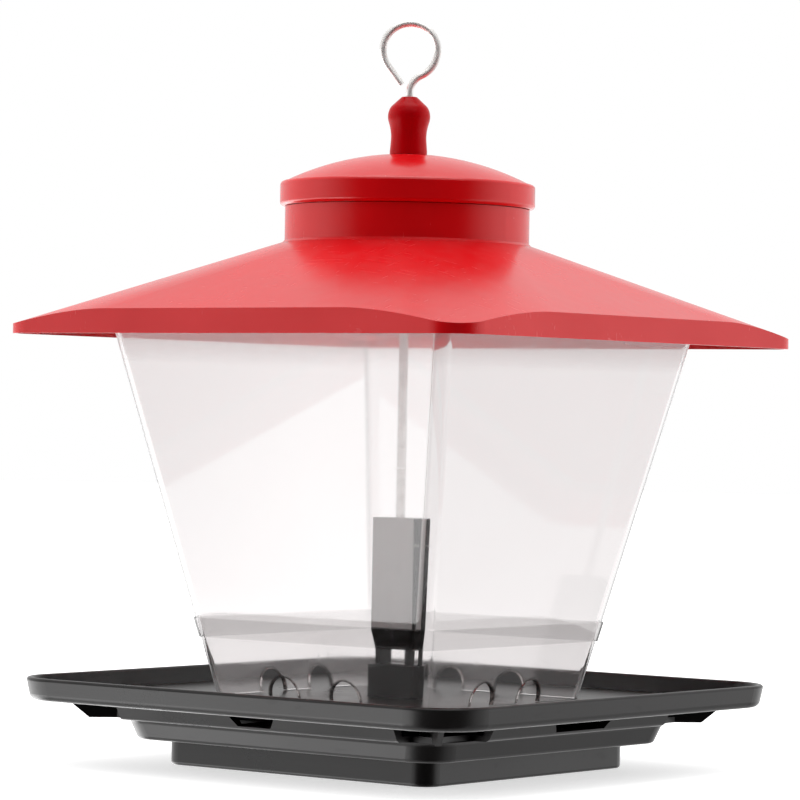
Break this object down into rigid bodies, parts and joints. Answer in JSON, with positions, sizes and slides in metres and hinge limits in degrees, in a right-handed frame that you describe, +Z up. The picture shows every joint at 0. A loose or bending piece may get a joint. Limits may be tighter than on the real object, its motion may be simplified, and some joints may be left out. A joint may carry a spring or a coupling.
{
  "type": "hanging gravity bird feeder",
  "caption": "Square hopper bird feeder: clear tapered seed hopper between a stepped tray and a removable roof with a round filler cap, clamped by a screwed finial with a hanging eye.",
  "frame": {"origin": "centre of the underside of the base foot", "axes": "+Z up along the centre rod; the sides of the square tray, hopper and roof lie along X and Y"},
  "size_m": [0.254, 0.254, 0.3307],
  "materials": {
    "black_plastic": "semi-gloss moulded",
    "post_plastic": "semi-gloss moulded",
    "zinc_steel": "zinc plated",
    "rod_steel": "bright drawn",
    "clear_plastic": "clear moulded plastic",
    "red_plastic": "gloss moulded",
    "knob_plastic": "gloss moulded",
    "seal_rubber": "matt",
    "brass": "machined",
    "eye_wire": "bright plated"
  },
  "bodies": {
    "base": {"seed_tray": "black_plastic", "base_foot": "black_plastic", "foot_screws": "zinc_steel", "centre_post": "post_plastic", "post_screws": "zinc_steel", "centre_rod": "rod_steel", "rod_nut": "zinc_steel"},
    "hopper_body": {"hopper": "clear_plastic"},
    "roof_body": {"roof": "red_plastic"},
    "cap_body": {"fill_cap": "red_plastic"},
    "seal_body": {"knob_seal": "seal_rubber"},
    "knob_body": {"finial_knob": "knob_plastic", "knob_insert": "brass"},
    "eye_body": {"hanger_eye": "eye_wire", "eye_collar": "rod_steel"}
  },
  "joints": [
    {"name": "hopper_lift", "type": "slide", "parent": "base", "child": "hopper_body", "axis": [0, 0, 1], "range_m": [0, 0.27]},
    {"name": "roof_lift", "type": "slide", "parent": "hopper_body", "child": "roof_body", "axis": [0, 0, 1], "range_m": [0, 0.11]},
    {"name": "cap_lift", "type": "slide", "parent": "roof_body", "child": "cap_body", "axis": [0, 0, 1], "range_m": [0, 0.04]},
    {"name": "knob_rise", "type": "slide", "parent": "cap_body", "child": "seal_body", "axis": [0, 0, 1], "range_m": [0, 0.0071]},
    {"name": "knob_turn", "type": "hinge", "parent": "seal_body", "child": "knob_body", "pos_m": [0, 0, 0.28], "axis": [0, 0, 1], "range_deg": [0, 3600]},
    {"name": "eye_swivel", "type": "hinge", "parent": "knob_body", "child": "eye_body", "pos_m": [0, 0, 0.3], "axis": [0, 0, 1], "continuous": true}
  ],
  "couplings": [
    {"joint": "knob_rise", "follows": "knob_turn", "m_per_rad": 0.00011141}
  ]
}
